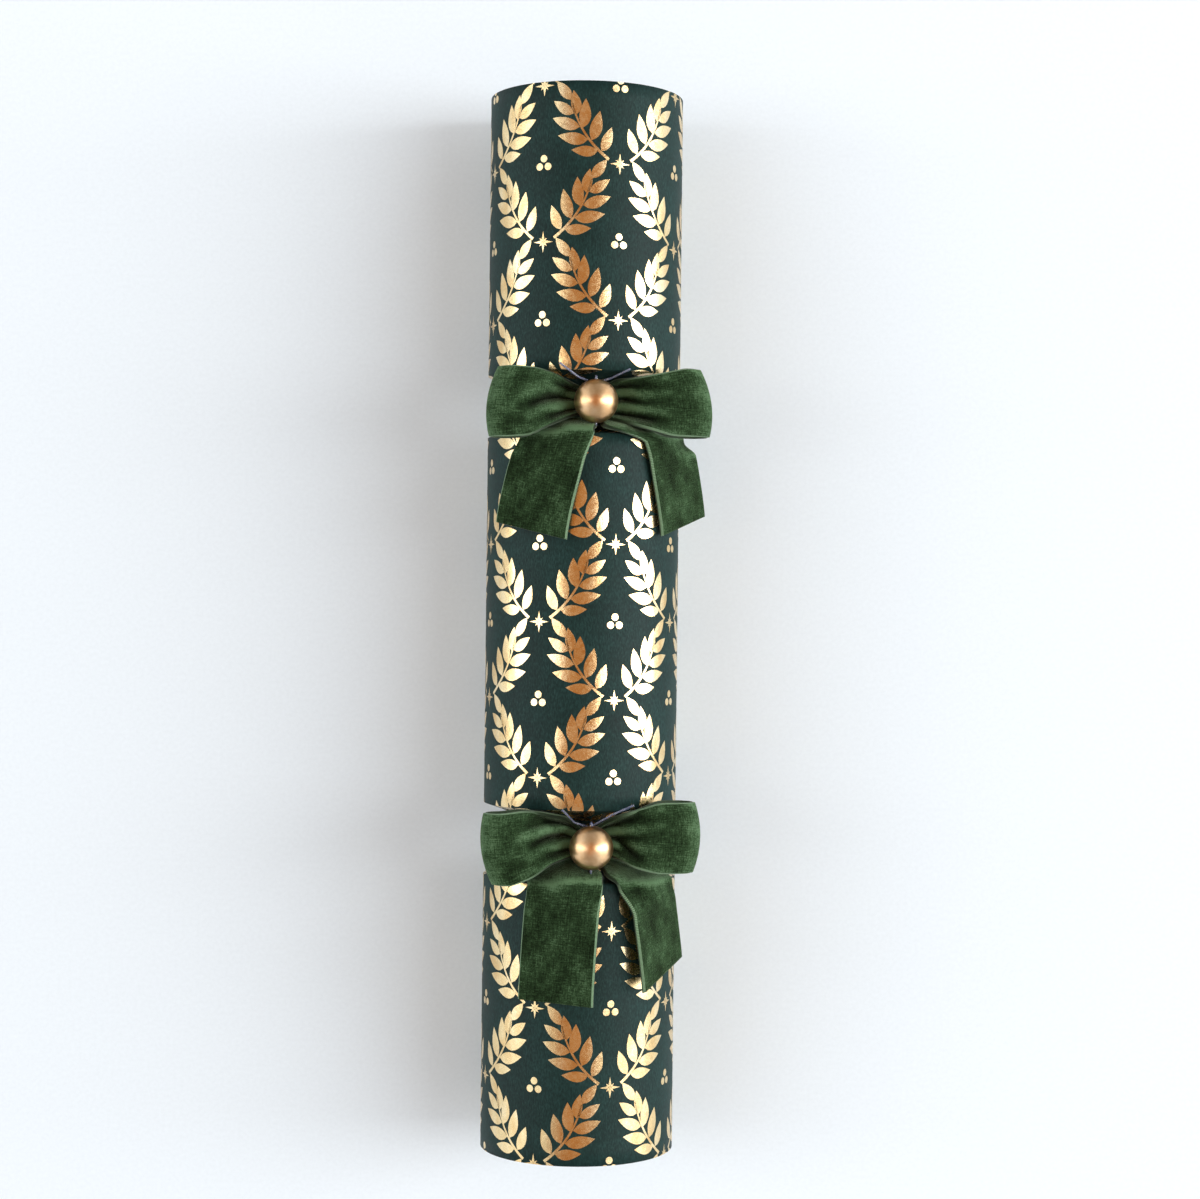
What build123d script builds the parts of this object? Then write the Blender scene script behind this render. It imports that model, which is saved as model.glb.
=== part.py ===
"""Christmas cracker with two velvet bows.

The cracker lies along Y on its side, on the plane Z = 0, with its axis over the line X = 0.
All sizes are in millimetres.
"""
from build123d import *
from math import acos, atan2, cos, degrees, hypot, pi, radians, sin, sqrt
import os

os.makedirs("parts", exist_ok=True)

# Barrels and chokes
barrel_diameter = 56.0
top_barrel_length = 81.0
upper_choke_length = 18.0
centre_barrel_length = 106.0
lower_choke_length = 21.0
bottom_barrel_length = 79.0

# Printed wrap
wrap_thickness = 0.35
pleats = 14
neck_length = 6.0
tear_distance = 4.3
tear_gap = 0.3
facet_relief = 0.02
lap_width = 9.0
lap_angle = 205.0

# Board liners
liner_thickness = 0.6
glue_gap = 0.05
liner_setback = 0.8

# Snap
snap_width = 5.0
snap_thickness = 0.4
snap_gap = 0.3
snap_setback = 10.0
snap_overlap = 22.0
throat_clearance = 0.5
sleeve_length = 26.0
sleeve_thickness = 0.25
sleeve_clearance = 0.3

# Gold tie round each neck
tie_diameter = 0.9
tie_pitch = 1.35
tie_turns = 2
tie_clearance = 0.3

# Bows
ribbon_width = 22.0
ribbon_thickness = 1.0
pinch_width = 5.6
pinch_pleat_depth = 1.6
top_pleat_depth = 2.2
ribbon_strips = 6
layer_gap = 0.3
drape_clearance = 0.6
bow_roll = 7.4
loop_bend_radius = 4.1
loop_lean = 2.6
loop_relief = 0.9
loop_corner_recess = 1.9

# Beads and their threads
bead_diameter = 12.4
bead_bore_diameter = 1.6
thread_diameter = 0.6
bore_overrun = 1.0

# Contents of the centre barrel
rest_gap = 0.3
whistle_diameter = 12.0
whistle_bore_diameter = 6.4
whistle_length = 46.0
whistle_mouth_length = 13.0
whistle_mouth_diameter = 8.6
whistle_floor = 5.0
whistle_window = 5.0
whistle_angle = 262.0
hat_roll_diameter = 16.0
hat_length = 84.0
hat_sheet_thickness = 0.4
hat_turn_pitch = 1.6
hat_turns = 3
joke_length = 52.0
joke_width = 24.0
joke_thickness = 0.2
joke_angle = 216.0

# Stations along the axis, from the bottom mouth at -Y to the top mouth at +Y
overall_length = (top_barrel_length + upper_choke_length + centre_barrel_length
                  + lower_choke_length + bottom_barrel_length)
bottom_mouth_y = -overall_length / 2
bottom_shoulder_y = bottom_mouth_y + bottom_barrel_length
centre_low_y = bottom_shoulder_y + lower_choke_length
centre_high_y = centre_low_y + centre_barrel_length
top_shoulder_y = centre_high_y + upper_choke_length
top_mouth_y = top_shoulder_y + top_barrel_length
upper_choke_y = (centre_high_y + top_shoulder_y) / 2
lower_choke_y = (bottom_shoulder_y + centre_low_y) / 2

# Radii from the cracker's axis
barrel_radius = barrel_diameter / 2
wrap_inner_radius = barrel_radius - wrap_thickness
liner_outer_radius = wrap_inner_radius - glue_gap
liner_inner_radius = liner_outer_radius - liner_thickness
axis_height = barrel_radius

# The pleats close on the snap: each fold keeps the length of paper that the barrel has
pleat_angle = pi / pleats
panel_width = 2 * pi * barrel_radius / (2 * pleats)
throat_radius = snap_width / 2 + throat_clearance


def fold_offset(far_radius, near_radius, thickness):
    """How far a fold at far_radius moves when both panels that meet there move by thickness."""
    half_fold = atan2(near_radius * sin(pleat_angle), abs(far_radius - near_radius * cos(pleat_angle)))
    return thickness / sin(half_fold)


def outer_fold(inner_fold):
    """Radius of the outer folds where the inner folds lie at inner_fold."""
    across = inner_fold * sin(pleat_angle)
    return inner_fold * cos(pleat_angle) + sqrt(panel_width ** 2 - across ** 2)


def inner_fold(outer_fold_radius):
    """Radius of the inner folds where the outer folds lie at outer_fold_radius."""
    across = outer_fold_radius * sin(pleat_angle)
    return outer_fold_radius * cos(pleat_angle) - sqrt(panel_width ** 2 - across ** 2)


neck_valley_radius = throat_radius + 3 * wrap_thickness
neck_radius = outer_fold(neck_valley_radius)

# Heights above the cracker's axis in a bow, counted up from the neck
tie_radius = neck_radius + tie_clearance + tie_diameter / 2
thread_low = tie_radius + tie_diameter / 2 + layer_gap + thread_diameter / 2
flat_stack = pinch_pleat_depth / 2 + ribbon_thickness / 2
tails_height = thread_low + thread_diameter / 2 + layer_gap + flat_stack
under_layer_height = tails_height + 2 * flat_stack + layer_gap
over_layer_height = under_layer_height + flat_stack + layer_gap + (top_pleat_depth + ribbon_thickness) / 2
bead_radius = bead_diameter / 2
bead_height = over_layer_height + (top_pleat_depth + ribbon_thickness) / 2 + layer_gap + bead_radius
drape_radius = barrel_radius + drape_clearance + ribbon_thickness / 2


def station(y):
    """Plane across the cracker at y, with its own X to the right and its own Y upward."""
    return Plane(origin=(0, y, axis_height), x_dir=(1, 0, 0), z_dir=(0, -1, 0))


def smooth(share):
    """Ease from 0 to 1."""
    share = min(max(share, 0.0), 1.0)
    return share * share * (3 - 2 * share)


def panels(lower, upper, closed=True):
    """Flat panels between two rows of points. Each is creased along a diagonal, which swaps sides."""
    faces = []
    count = len(lower) if closed else len(lower) - 1
    for k in range(count):
        a, b = lower[k], lower[(k + 1) % len(lower)]
        d, c = upper[k], upper[(k + 1) % len(upper)]
        halves = ((a, b, c), (a, c, d)) if k % 2 == 0 else ((a, b, d), (b, c, d))
        faces += [Face(Wire.make_polygon(half)) for half in halves]
    return faces


# Share of the choke's depth that is left, against share of the way from shoulder to neck
funnel_shares = ((0.0, 1.0), (0.40, 0.60), (0.74, 0.25), (1.0, 0.0))


def funnel_radius(share):
    """Radius of the outer folds at a share of the way from shoulder to neck."""
    for (start, left_start), (end, left_end) in zip(funnel_shares, funnel_shares[1:]):
        if share <= end:
            left = left_start + (left_end - left_start) * (share - start) / (end - start)
            return neck_radius + left * (barrel_radius - facet_relief - neck_radius)
    return neck_radius


def clear_radius(v, choke_length):
    """Radius at which the middle of a ribbon clears the pleats or the barrel, v along from the neck."""
    share = (choke_length / 2 - abs(v)) / ((choke_length - neck_length) / 2)
    return min(funnel_radius(share) + layer_gap + ribbon_thickness, drape_radius)


def fold_ring(y, tip, valley):
    """Points of the folds at y, outer and inner in turn."""
    points = []
    for k in range(2 * pleats):
        radius = tip if k % 2 == 0 else valley
        turn = k * pleat_angle
        points.append(Vector(radius * cos(turn), y, axis_height + radius * sin(turn)))
    return points


def pleated_funnel(shoulder_y, neck_y, end_y):
    """Paper pleated down from a barrel's shoulder to the neck, and along the neck to its torn end."""
    inward = 1 if shoulder_y > neck_y else -1
    stops = [(shoulder_y + (neck_y - shoulder_y) * share, funnel_radius(share)) for share, _ in funnel_shares]
    stops.append((end_y, neck_radius))
    outside, inside = [], []
    for index, (y, tip) in enumerate(stops):
        valley = tip if index == 0 else inner_fold(tip)
        depth = 0 if index in (0, len(stops) - 1) else inward * wrap_thickness
        outside.append(fold_ring(y, tip, valley))
        inside.append(fold_ring(y + depth,
                                tip - fold_offset(tip, valley, wrap_thickness),
                                valley - fold_offset(valley, tip, wrap_thickness)))
    faces = []
    for wall in (outside, inside):
        for lower, upper in zip(wall, wall[1:]):
            faces += panels(lower, upper)
    for end in (0, -1):
        faces.append(Face(Wire.make_polygon(outside[end]), [Wire.make_polygon(inside[end])]))
    return Solid(Shell(faces))


def barrel_tube(low_y, high_y):
    """Sketch and extrude the straight stretch of one wrap, with the glued lap along its underside."""
    with BuildSketch(station(low_y)) as wall:
        Circle(barrel_radius)
        Circle(wrap_inner_radius, mode=Mode.SUBTRACT)
    extrude(wall.sketch, amount=low_y - high_y)
    lap_turn = degrees(lap_width / barrel_radius)
    with BuildSketch(station(low_y)) as lap:
        with BuildLine():
            root = PolarLine((0, 0), barrel_radius - wrap_thickness / 2, lap_angle, mode=Mode.PRIVATE) @ 1
            edge = PolarLine((0, 0), barrel_radius + wrap_thickness, lap_angle + lap_turn, mode=Mode.PRIVATE) @ 1
            middle = PolarLine((0, 0), barrel_radius + wrap_thickness / 2,
                               lap_angle + lap_turn / 2, mode=Mode.PRIVATE) @ 1
            ThreePointArc(root, middle, edge)
            foot = PolarLine(edge, -3 * wrap_thickness / 2, lap_angle + lap_turn) @ 1
            CenterArc((0, 0), barrel_radius - wrap_thickness / 2, lap_angle, lap_turn)
        make_face()
    extrude(lap.sketch, amount=low_y - high_y)


# Printed wraps: one sheet, scored through at the two necks
upper_neck_low = upper_choke_y - neck_length / 2
upper_neck_high = upper_choke_y + neck_length / 2
upper_tear_y = upper_neck_low + tear_distance
lower_neck_high = lower_choke_y + neck_length / 2
lower_neck_low = lower_choke_y - neck_length / 2
lower_tear_y = lower_neck_high - tear_distance

with BuildPart() as centre_wrap:
    barrel_tube(centre_low_y, centre_high_y)
    add(pleated_funnel(centre_high_y, upper_neck_low, upper_tear_y))
    add(pleated_funnel(centre_low_y, lower_neck_high, lower_tear_y))

with BuildPart() as top_end_wrap:
    barrel_tube(top_shoulder_y, top_mouth_y)
    add(pleated_funnel(top_shoulder_y, upper_neck_high, upper_tear_y + tear_gap))

with BuildPart() as bottom_end_wrap:
    barrel_tube(bottom_mouth_y, bottom_shoulder_y)
    add(pleated_funnel(bottom_shoulder_y, lower_neck_low, lower_tear_y - tear_gap))


# Board liners, glued inside the wraps
def liner_tube(low_y, high_y):
    """Sketch and extrude one liner."""
    with BuildSketch(station(low_y)) as wall:
        Circle(liner_outer_radius)
        Circle(liner_inner_radius, mode=Mode.SUBTRACT)
    extrude(wall.sketch, amount=low_y - high_y)


with BuildPart() as centre_liner:
    liner_tube(centre_low_y + liner_setback, centre_high_y - liner_setback)

with BuildPart() as top_end_liner:
    liner_tube(top_shoulder_y + liner_setback, top_mouth_y)

with BuildPart() as bottom_end_liner:
    liner_tube(bottom_mouth_y, bottom_shoulder_y - liner_setback)


# Snap: two card strips that overlap inside a paper sleeve
def snap_strip(low_y, high_y, height):
    """Sketch and extrude one strip, its middle at height over the axis."""
    with BuildSketch(station(low_y)) as section:
        with Locations((0, height)):
            Rectangle(snap_width, snap_thickness)
    extrude(section.sketch, amount=low_y - high_y)


strip_height = (snap_gap + snap_thickness) / 2

with BuildPart() as snap_strip_top:
    snap_strip(-snap_overlap / 2, top_mouth_y - snap_setback, strip_height)

with BuildPart() as snap_strip_bottom:
    snap_strip(bottom_mouth_y + snap_setback, snap_overlap / 2, -strip_height)

with BuildPart() as snap_sleeve:
    sleeve_bore_width = snap_width + 2 * sleeve_clearance
    sleeve_bore_height = 2 * snap_thickness + snap_gap + 2 * sleeve_clearance
    with BuildSketch(station(-sleeve_length / 2)):
        RectangleRounded(sleeve_bore_width + 2 * sleeve_thickness,
                         sleeve_bore_height + 2 * sleeve_thickness, 2 * sleeve_thickness)
        RectangleRounded(sleeve_bore_width, sleeve_bore_height, sleeve_thickness, mode=Mode.SUBTRACT)
    extrude(amount=-sleeve_length)


# Gold ties: two turns of cord round each neck, each turn as two half circles that climb
def tie_coil(first_y, climb):
    """Sweep one unbroken cord from first_y, climbing by climb each turn."""
    with BuildLine() as path:
        for half in range(2 * tie_turns):
            side = 1 if half % 2 == 0 else -1
            y = first_y + half * climb / 2
            ThreePointArc((side * tie_radius, y, axis_height),
                          (0, y + climb / 4, axis_height + side * tie_radius),
                          (-side * tie_radius, y + climb / 2, axis_height))
    with BuildSketch(Plane(origin=path.line @ 0, z_dir=path.line % 0)) as section:
        Circle(tie_diameter / 2)
    sweep(section.sketch, path=path.line)
    turn_points = [path.line @ (index / gap_samples) for index in range(gap_samples + 1)]
    near = gap_samples // tie_turns * 3 // 4
    least = min((turn_points[i] - turn_points[j]).length
                for i in range(gap_samples + 1) for j in range(i + near, gap_samples + 1))
    print("tie: least gap to itself", round(least - tie_diameter, 2), "mm")


gap_samples = 120
tie_inset = tie_clearance + tie_diameter / 2

with BuildPart() as upper_tie:
    tie_coil(upper_neck_low + tie_inset, tie_pitch)

with BuildPart() as lower_tie:
    tie_coil(lower_neck_high - tie_inset, -tie_pitch)


# Bows: every point is given across (u), along (v) and above the axis (w), then rolled with the bow
def bow_point(bow_y, u, v, w):
    """Place a bow's own point in the cracker's frame."""
    roll = radians(bow_roll)
    return Vector(u * cos(roll) + w * sin(roll), bow_y + v, axis_height + w * cos(roll) - u * sin(roll))


def ribbon_solid(grid, closed):
    """Give a grid of points, rows along the ribbon and columns across it, the ribbon's thickness."""
    rows = len(grid)
    rings = []
    for i, row in enumerate(grid):
        before = grid[(i - 1) % rows] if closed or i > 0 else row
        after = grid[(i + 1) % rows] if closed or i < rows - 1 else row
        over, under = [], []
        for j, point in enumerate(row):
            along = after[j] - before[j]
            across = row[min(j + 1, len(row) - 1)] - row[max(j - 1, 0)]
            step = along.cross(across).normalized() * (ribbon_thickness / 2)
            over.append(point + step)
            under.append(point - step)
        rings.append(over + under[::-1])
    faces = []
    for lower, upper in zip(rings, rings[1:]):
        faces += panels(lower, upper)
    if closed:
        faces += panels(rings[-1], rings[0])
    else:
        half = ribbon_strips + 1
        for ring in (rings[0], rings[-1]):
            faces += panels(ring[:half], ring[half:][::-1], closed=False)
    return Solid(Shell(faces))


# Loops. A loop is (reach, rise of its outer end along v, back layer's shift, front layer's shift,
# how much further out its end lies at its upper edge than in its middle)
loop_tip_width = 20.6
upper_left_loop = (30.6, -0.3, 0.6, 0.2, -1.2)
upper_right_loop = (33.4, 0.5, 0.6, 0.0, -1.4)
lower_left_loop = (30.9, -0.5, 2.2, -1.0, 1.3)
lower_right_loop = (31.3, 2.9, 1.6, -0.8, 0.2)
layer_steps = 6
bend_steps = 5


def loop_rows(bow_y, side, loop, choke_length):
    """Rows of one loop, from the pinch's upper layer round the bend to its under layer."""
    reach, rise, back_shift, front_shift, slant = loop
    bend_start = reach - loop_bend_radius - ribbon_thickness / 2
    low_out = sqrt(max(drape_radius ** 2 - (2 * bend_start / 3) ** 2, 0)) - ribbon_thickness
    high_out = low_out + 2 * loop_bend_radius
    path = []
    for step in range(layer_steps + 1):
        share = step / layer_steps
        height = over_layer_height + (high_out - over_layer_height) * smooth(share * 1.3)
        path.append((bend_start * share, height, front_shift, top_pleat_depth))
    for step in range(1, bend_steps):
        turn = pi * step / bend_steps
        path.append((bend_start + loop_bend_radius * sin(turn),
                     low_out + loop_bend_radius + loop_bend_radius * cos(turn),
                     front_shift + (back_shift - front_shift) * step / bend_steps, 0))
    for step in range(layer_steps, -1, -1):
        share = step / layer_steps
        height = under_layer_height + (low_out - under_layer_height) * smooth(share * 1.6)
        path.append((bend_start * share, height, back_shift, pinch_pleat_depth))
    rows = []
    for index, (u, w, shift, depth) in enumerate(path):
        share = min(u / bend_start, 1)
        half = pinch_width / 2 + (loop_tip_width - pinch_width) / 2 * sin(pi / 2 * share)
        middle = rise * share + shift * sin(pi * share)
        pleat = depth / 2 * (1 - smooth(share * 1.2))
        layers_below = 1 if index >= layer_steps + bend_steps else 2
        row = []
        for j in range(ribbon_strips + 1):
            place = 2 * j / ribbon_strips - 1
            v = middle + half * place
            next_v = abs(v) + 3 * half / ribbon_strips
            over_shoulder = next_v > choke_length / 2
            out = u + (slant * place - loop_corner_recess * place ** 2) * share
            height = w + pleat * (1 if j % 2 == 0 else -1) + loop_lean * sin(pi * share) * max(-place, 0)
            below = clear_radius(next_v if over_shoulder else v, choke_length)
            below += layers_below * (ribbon_thickness + layer_gap) + loop_relief
            if v > 0:
                below -= ribbon_thickness + layer_gap
            height = max(height, sqrt(max(below ** 2 - out ** 2, 0)))
            row.append(bow_point(bow_y, side * out, v, height))
        rows.append(row)
    return rows


def bow_loops(bow_y, left, right, choke_length):
    """One band of ribbon that makes both loops of a bow."""
    right_rows = loop_rows(bow_y, 1, right, choke_length)
    left_rows = loop_rows(bow_y, -1, left, choke_length)[::-1]
    return ribbon_solid(right_rows + left_rows[1:-1], closed=True)


# Tails. A tail is (place of its middle at the shoulder, drift to its end, reach along v, stand-off
# of its end), sideways places outward. Its angles are (splay, place round the barrel) in degrees
upper_left_tail = (11.6, 7.1, 36.6, 1.6)
upper_left_angles = (13.0, 27.6)
upper_right_tail = (25.5, 6.8, 34.3, 0.8)
upper_right_angles = (16.8, 45.2)
lower_left_tail = (7.8, 2.1, 43.5, 0.6)
lower_left_angles = (3.2, 23.1)
lower_right_tail = (18.7, 5.3, 36.7, 1.5)
lower_right_angles = (21.0, 49.8)
drift_power = 1.3
elbow_steps = 4
rise_steps = 6
drape_steps = 10


def tail_rows(bow_y, side, tail, angles, choke_length):
    """Rows of one tail: it hugs the pleats up to the shoulder, and flattens toward its cut end."""
    leave, drift, reach, stand_off = tail
    splay, facing = (radians(angle) for angle in angles)
    pinch_half = pinch_width / 2
    ribbon_half = ribbon_width / 2
    shoulder = choke_length / 2
    elbow = pinch_half + ribbon_thickness / 2
    places = []
    for step in range(elbow_steps + 1):
        turn = pi / 2 * (1 - step / elbow_steps)
        places.append((elbow * cos(turn), elbow * sin(turn) - elbow, pinch_half, turn, 0))
    for step in range(1, rise_steps + 1):
        share = step / rise_steps
        sideways = elbow + (leave - elbow) * smooth(share)
        half = pinch_half + (ribbon_half - pinch_half) * smooth(share)
        places.append((sideways, -elbow - (shoulder - elbow) * share, half, 0, 0))
    for step in range(1, drape_steps + 1):
        share = step / drape_steps
        sideways = leave + drift * (1 - (1 - share) ** drift_power)
        places.append((sideways, -shoulder - (reach - shoulder) * share, ribbon_half,
                       splay * smooth(share * 2), share))
    rows = []
    for sideways, v_middle, half, turn, share in places:
        row = []
        for j in range(ribbon_strips + 1):
            place = (2 * j / ribbon_strips - 1) * half
            v = v_middle + place * sin(turn)
            across = sideways + place * cos(turn)
            radius = max(clear_radius(abs(v) + layer_gap, choke_length), tails_height) + stand_off * share ** 2
            round_u, round_w = radius * sin(across / radius), radius * cos(across / radius)
            beside = across - radius * facing
            flat_u = radius * sin(facing) + beside * cos(facing)
            flat_w = radius * cos(facing) - beside * sin(facing)
            flatness = smooth(share * 5 / 2)
            u = round_u + (flat_u - round_u) * flatness
            row.append(bow_point(bow_y, side * u, v, round_w + (flat_w - round_w) * flatness))
        rows.append(row)
    return rows


def bow_tails(bow_y, left, left_angles, right, right_angles, choke_length):
    """One strip of ribbon that runs from one tail through the pinch to the other."""
    left_rows = tail_rows(bow_y, -1, left, left_angles, choke_length)
    right_rows = tail_rows(bow_y, 1, right, right_angles, choke_length)
    return ribbon_solid(left_rows[::-1] + right_rows[1:], closed=False)


with BuildPart() as upper_bow_loops:
    add(bow_loops(upper_choke_y, upper_left_loop, upper_right_loop, upper_choke_length))

with BuildPart() as upper_bow_tails:
    add(bow_tails(upper_choke_y, upper_left_tail, upper_left_angles,
                  upper_right_tail, upper_right_angles, upper_choke_length))

with BuildPart() as lower_bow_loops:
    add(bow_loops(lower_choke_y, lower_left_loop, lower_right_loop, lower_choke_length))

with BuildPart() as lower_bow_tails:
    add(bow_tails(lower_choke_y, lower_left_tail, lower_left_angles,
                  lower_right_tail, lower_right_angles, lower_choke_length))


# Beads, bored along the cracker for their threads
def bead(bow_y):
    """Ball over a bow's pinch, with its bore."""
    centre = bow_point(bow_y, 0, 0, bead_height)
    with Locations(centre):
        Sphere(bead_radius)
        Cylinder(bead_bore_diameter / 2, bead_diameter + bore_overrun, rotation=(90, 0, 0), mode=Mode.SUBTRACT)


with BuildPart() as upper_bead:
    bead(upper_choke_y)

with BuildPart() as lower_bead:
    bead(lower_choke_y)


# Threads: through the bead, round the pinch, with two cut ends left standing.
# An end is a chain of (u, v, w) places, in shares of the bead's diameter from the bead's centre
upper_end_shares = (((-0.42, 0.54, 0.05), (-0.87, 0.82, 0.28)), ((0.36, 0.55, -0.30), (0.77, 0.74, 0.02)))
lower_end_shares = (((-0.36, 0.55, -0.30), (-0.67, 0.86, 0.05)), ((0.46, 0.74, -0.06), (0.94, 0.98, 0.14)))


knot_share = 0.45


def thread(bow_y, ends):
    """Sweep the closed thread in the bow's own middle plane, then its two ends."""
    bow_plane = Plane(origin=bow_point(bow_y, 0, 0, 0), x_dir=(0, 1, 0), z_dir=(cos(radians(bow_roll)), 0,
                                                                              -sin(radians(bow_roll))))
    beside_bead = bead_radius + 2 * thread_diameter
    beside_pinch = pinch_width / 2 + 3 * thread_diameter / 2
    beside_neck = pinch_width / 2 - thread_diameter
    outline = ((beside_bead, bead_height), (beside_pinch, over_layer_height), (beside_pinch, tails_height),
               (beside_neck, thread_low), (-beside_neck, thread_low), (-beside_pinch, tails_height),
               (-beside_pinch, over_layer_height), (-beside_bead, bead_height))
    with BuildLine(bow_plane) as path:
        FilletPolyline(*outline, radius=thread_diameter, close=True)
    with BuildSketch(Plane(origin=path.line @ 0, z_dir=path.line % 0)) as section:
        Circle(thread_diameter / 2)
    sweep(section.sketch, path=path.line)
    for end in ends:
        knot = bow_point(bow_y, 0, beside_pinch + knot_share * (beside_bead - beside_pinch),
                         over_layer_height + knot_share * (bead_height - over_layer_height))
        places = [knot] + [bow_point(bow_y, u * bead_diameter, v * bead_diameter,
                                     bead_height + w * bead_diameter) for u, v, w in end]
        with BuildLine() as run:
            FilletPolyline(*places, radius=2 * thread_diameter)
        with BuildSketch(Plane(origin=run.line @ 0, z_dir=run.line % 0)) as section:
            Circle(thread_diameter / 2)
        sweep(section.sketch, path=run.line)


with BuildPart() as upper_thread:
    thread(upper_choke_y, upper_end_shares)

with BuildPart() as lower_thread:
    thread(lower_choke_y, lower_end_shares)


# Contents: they lie on the liner's lowest stretch
def lying_place(diameter, angle):
    """Centre of a round piece that lies inside the liner at an angle round the axis."""
    swing = liner_inner_radius - rest_gap - diameter / 2
    return (swing * cos(radians(angle)), swing * sin(radians(angle)))


whistle_place = lying_place(whistle_diameter, whistle_angle)
whistle_low_y = -whistle_length / 2
with BuildPart() as gift_whistle:
    with BuildSketch(station(whistle_low_y)):
        with Locations(whistle_place):
            Circle(whistle_diameter / 2)
    extrude(amount=whistle_mouth_length - whistle_length)
    with BuildSketch(station(whistle_low_y + whistle_length - whistle_mouth_length)):
        with Locations(whistle_place):
            Circle(whistle_diameter / 2)
    with BuildSketch(station(whistle_low_y + whistle_length)):
        with Locations(whistle_place):
            Circle(whistle_mouth_diameter / 2)
    loft()
    with BuildSketch(station(whistle_low_y + whistle_floor)):
        with Locations(whistle_place):
            Circle(whistle_bore_diameter / 2)
    extrude(amount=whistle_floor - whistle_length, mode=Mode.SUBTRACT)
    window_y = whistle_low_y + whistle_length - whistle_mouth_length - whistle_window
    with BuildSketch(station(window_y)):
        with Locations((whistle_place[0], whistle_place[1] + whistle_diameter / 2)):
            Rectangle(whistle_window, whistle_diameter)
    extrude(amount=-whistle_window, mode=Mode.SUBTRACT)

# The hat roll leans on the whistle: the two circles touch but for the rest gap
hat_swing = liner_inner_radius - rest_gap - hat_roll_diameter / 2
whistle_swing = hypot(*whistle_place)
between = (hat_roll_diameter + whistle_diameter) / 2 + rest_gap
hat_turn = degrees(acos((hat_swing ** 2 + whistle_swing ** 2 - between ** 2) / (2 * hat_swing * whistle_swing)))
hat_place = lying_place(hat_roll_diameter, whistle_angle + hat_turn)
toward_whistle = Vector(whistle_place[0] - hat_place[0], 0, whistle_place[1] - hat_place[1])
hat_end = Plane(origin=(hat_place[0], -hat_length / 2, axis_height + hat_place[1]),
                x_dir=toward_whistle, z_dir=(0, -1, 0))
with BuildPart() as paper_hat:
    with BuildSketch(hat_end) as roll:
        with BuildLine() as spiral:
            radius = (hat_roll_diameter - hat_sheet_thickness) / 2
            start = (radius, 0)
            for half_turn in range(2 * hat_turns):
                side = 1 if half_turn % 2 == 0 else -1
                next_radius = radius - hat_turn_pitch / 4
                end = (start[0] - 2 * side * next_radius, 0)
                RadiusArc(start, end, -next_radius)
                start = end
                radius = next_radius - hat_turn_pitch / 4
        trace(line_width=hat_sheet_thickness)
    extrude(amount=-hat_length)

with BuildPart() as joke_slip:
    with BuildSketch(station(-joke_length / 2)):
        with BuildLine() as curl:
            slip_radius = liner_inner_radius - rest_gap - joke_thickness / 2
            slip_turn = degrees(joke_width / slip_radius)
            CenterArc((0, 0), slip_radius, joke_angle - slip_turn / 2, slip_turn)
        trace(line_width=joke_thickness)
    extrude(amount=-joke_length)

pieces = {
    "centre_wrap": centre_wrap, "top_end_wrap": top_end_wrap, "bottom_end_wrap": bottom_end_wrap,
    "centre_liner": centre_liner, "top_end_liner": top_end_liner, "bottom_end_liner": bottom_end_liner,
    "snap_strip_top": snap_strip_top, "snap_strip_bottom": snap_strip_bottom, "snap_sleeve": snap_sleeve,
    "upper_tie": upper_tie, "lower_tie": lower_tie,
    "upper_bow_loops": upper_bow_loops, "upper_bow_tails": upper_bow_tails,
    "lower_bow_loops": lower_bow_loops, "lower_bow_tails": lower_bow_tails,
    "upper_bead": upper_bead, "lower_bead": lower_bead,
    "upper_thread": upper_thread, "lower_thread": lower_thread,
    "gift_whistle": gift_whistle, "paper_hat": paper_hat, "joke_slip": joke_slip,
}
for label, piece in pieces.items():
    piece.part.label = label
    export_step(piece.part, f"parts/{label}.step")
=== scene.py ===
"""Looks of a christmas cracker with two velvet bows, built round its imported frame.

Shapes are worked out in millimetres, in the frame's own axes, and go into the scene in metres.
Y runs along the cracker, Z is up, and the cracker's axis lies barrel_radius over the floor.
"""
from math import ceil, cos, exp, floor, hypot, pi, radians, sin, sqrt

import bpy
import numpy as np
from mathutils import Euler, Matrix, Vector


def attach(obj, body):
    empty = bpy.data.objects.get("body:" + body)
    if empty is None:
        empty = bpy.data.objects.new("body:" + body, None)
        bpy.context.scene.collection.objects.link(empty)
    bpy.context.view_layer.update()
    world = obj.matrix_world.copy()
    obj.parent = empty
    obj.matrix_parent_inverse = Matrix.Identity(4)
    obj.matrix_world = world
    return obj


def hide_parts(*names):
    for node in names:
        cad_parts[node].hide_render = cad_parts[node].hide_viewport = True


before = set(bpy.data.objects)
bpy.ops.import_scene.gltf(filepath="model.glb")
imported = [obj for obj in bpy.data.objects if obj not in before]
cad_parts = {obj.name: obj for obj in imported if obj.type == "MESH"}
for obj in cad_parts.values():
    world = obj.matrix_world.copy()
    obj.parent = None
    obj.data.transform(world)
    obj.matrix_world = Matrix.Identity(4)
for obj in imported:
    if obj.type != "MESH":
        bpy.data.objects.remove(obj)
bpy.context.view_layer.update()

METRES = 0.001

# Photograph
photo_width_px = 1200
focal_px = 2323
camera_x = 5.3
camera_y = 6.8
camera_over_axis = 680.0
camera_turn_deg = 0.62
sensor_width = 36.0

# Cracker, as built
barrel_radius = 28.0
top_barrel_length = 81.0
upper_choke_length = 18.0
centre_barrel_length = 106.0
lower_choke_length = 21.0
bottom_barrel_length = 79.0
wrap_thickness = 0.35
pleats = 14
neck_length = 6.0
tear_distance = 4.3
tear_gap = 0.3
lap_width = 9.0
lap_angle = 205.0
snap_width = 5.0
throat_clearance = 0.5
tie_diameter = 0.9
tie_pitch = 1.35
tie_turns = 2
tie_clearance = 0.3

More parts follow.
